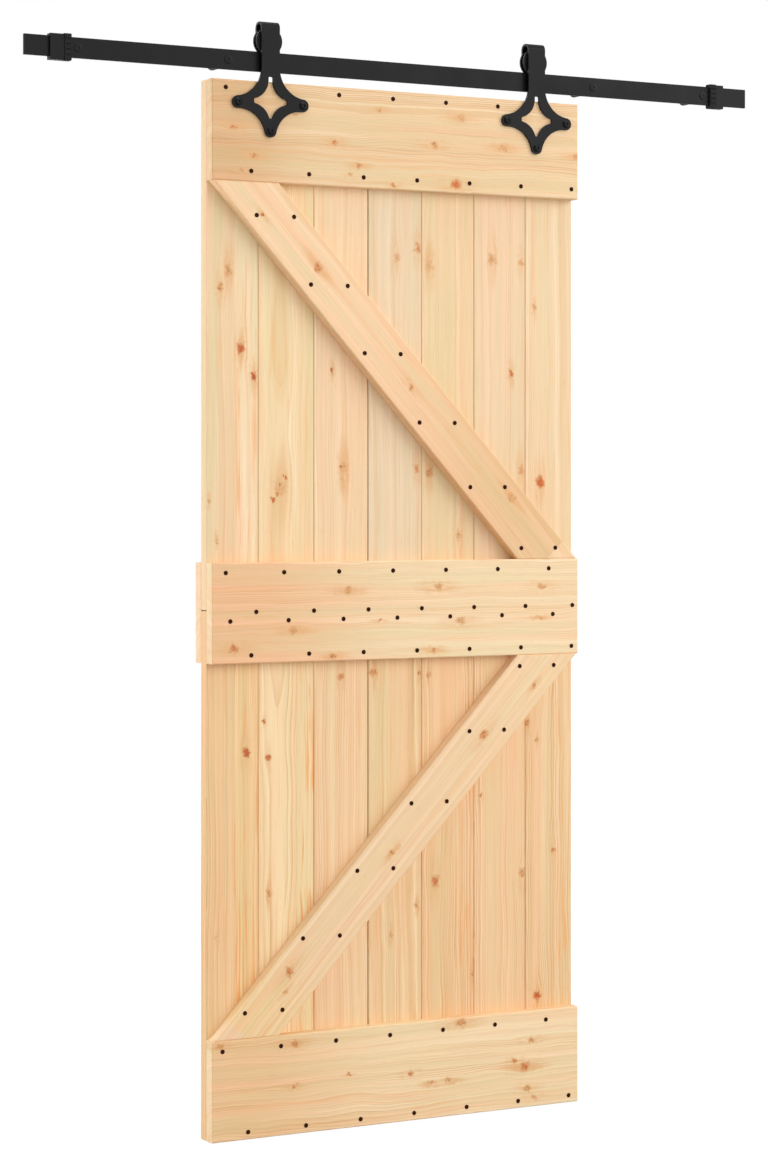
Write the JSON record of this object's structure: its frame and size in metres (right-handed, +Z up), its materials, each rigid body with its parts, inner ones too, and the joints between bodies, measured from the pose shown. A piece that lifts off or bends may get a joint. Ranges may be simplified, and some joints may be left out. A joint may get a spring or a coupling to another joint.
{
  "type": "sliding plank door on a flat track",
  "caption": "Pine plank door with rails and slanting braces, hung by star-plate strap hangers and grooved rollers from a flat steel bar track with end stops.",
  "frame": {"origin": "centre of the wall face of the left inner spacer, on the axis of its fixing hole", "axes": "+X along the track to the right as seen from the room, +Y into the wall, +Z up"},
  "size_m": [1.676, 0.0935, 2.2203],
  "materials": {
    "board_pine": "planed bare knotty pine, matt",
    "rail_pine": "planed bare knotty pine, matt",
    "black_steel": "black powder coat, satin",
    "roller_steel": "black powder coat, satin",
    "fastener_steel": "black oxide, satin",
    "bumper_rubber": "moulded black rubber, matt"
  },
  "bodies": {
    "track": {"track_rail": "black_steel", "track_spacers": "black_steel", "left_end_stop": "black_steel", "right_end_stop": "black_steel", "left_stop_bumper": "bumper_rubber", "right_stop_bumper": "bumper_rubber"},
    "door": {"upper_board_1": "board_pine", "upper_board_2": "board_pine", "upper_board_3": "board_pine", "upper_board_4": "board_pine", "upper_board_5": "board_pine", "upper_board_6": "board_pine", "upper_board_7": "board_pine", "lower_board_1": "board_pine", "lower_board_2": "board_pine", "lower_board_3": "board_pine", "lower_board_4": "board_pine", "lower_board_5": "board_pine", "lower_board_6": "board_pine", "lower_board_7": "board_pine", "top_rail": "rail_pine", "middle_rail": "rail_pine", "bottom_rail": "rail_pine", "back_middle_rail": "rail_pine", "upper_brace": "rail_pine", "lower_brace": "rail_pine", "left_hanger": "black_steel", "left_axle": "fastener_steel", "right_hanger": "black_steel", "right_axle": "fastener_steel", "hanger_bolts": "fastener_steel", "hanger_nuts": "fastener_steel"},
    "left_roller": {"left_roller": "roller_steel"},
    "right_roller": {"right_roller": "roller_steel"}
  },
  "joints": [
    {"name": "door_slide", "type": "slide", "parent": "track", "child": "door", "axis": [1, 0, 0], "range_m": [-0.39, 0.409]},
    {"name": "left_roller_spin", "type": "hinge", "parent": "door", "child": "left_roller", "pos_m": [0.088, -0.074, 0.0418], "axis": [0, 1, 0], "continuous": true},
    {"name": "right_roller_spin", "type": "hinge", "parent": "door", "child": "right_roller", "pos_m": [0.707, -0.074, 0.0418], "axis": [0, 1, 0], "continuous": true}
  ],
  "couplings": [
    {"joint": "left_roller_spin", "follows": "door_slide", "rad_per_m": 46.512},
    {"joint": "right_roller_spin", "follows": "door_slide", "rad_per_m": 46.512}
  ]
}
